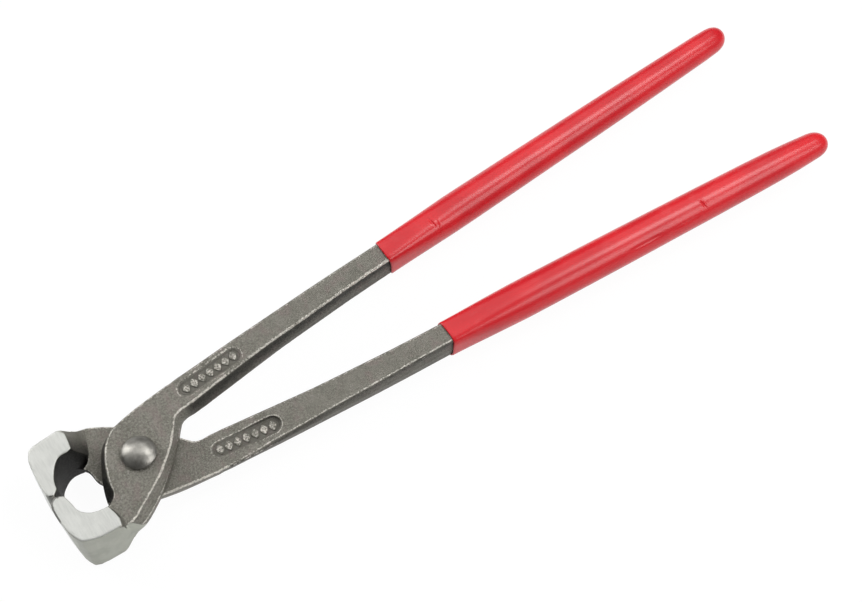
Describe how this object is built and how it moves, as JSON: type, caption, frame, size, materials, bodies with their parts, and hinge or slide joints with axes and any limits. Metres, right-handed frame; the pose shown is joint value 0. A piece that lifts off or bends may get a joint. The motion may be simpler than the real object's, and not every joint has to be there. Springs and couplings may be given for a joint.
{
  "type": "rebar pincers",
  "caption": "Long-handled end-cutting pincers: forged halves with wide ground jaws cross in a lap joint at a domed rivet; long dipped red sleeves cover the arms.",
  "frame": {"origin": "middle of the closed cutting edges, halfway along their length", "axes": "+X from the cutting edges towards the handle ends, +Y towards the front half's handle, +Z along the rivet, so the pincers lie flat"},
  "size_m": [0.3337, 0.0754, 0.023],
  "materials": {
    "forged_steel": "bare drop-forged steel, grey-brown, satin, with worn bright edges and ground jaws",
    "rivet_steel": "satin peened steel",
    "red_vinyl": "glossy dip-moulded soft vinyl"
  },
  "bodies": {
    "rear": {"rear_half": "forged_steel", "rear_grip": "red_vinyl", "rivet": "rivet_steel"},
    "front": {"front_half": "forged_steel", "front_grip": "red_vinyl"}
  },
  "joints": [
    {"name": "jaw_hinge", "type": "hinge", "parent": "rear", "child": "front", "pos_m": [0.033, 0, 0], "axis": [0, 0, 1], "range_deg": [0, 62]}
  ]
}
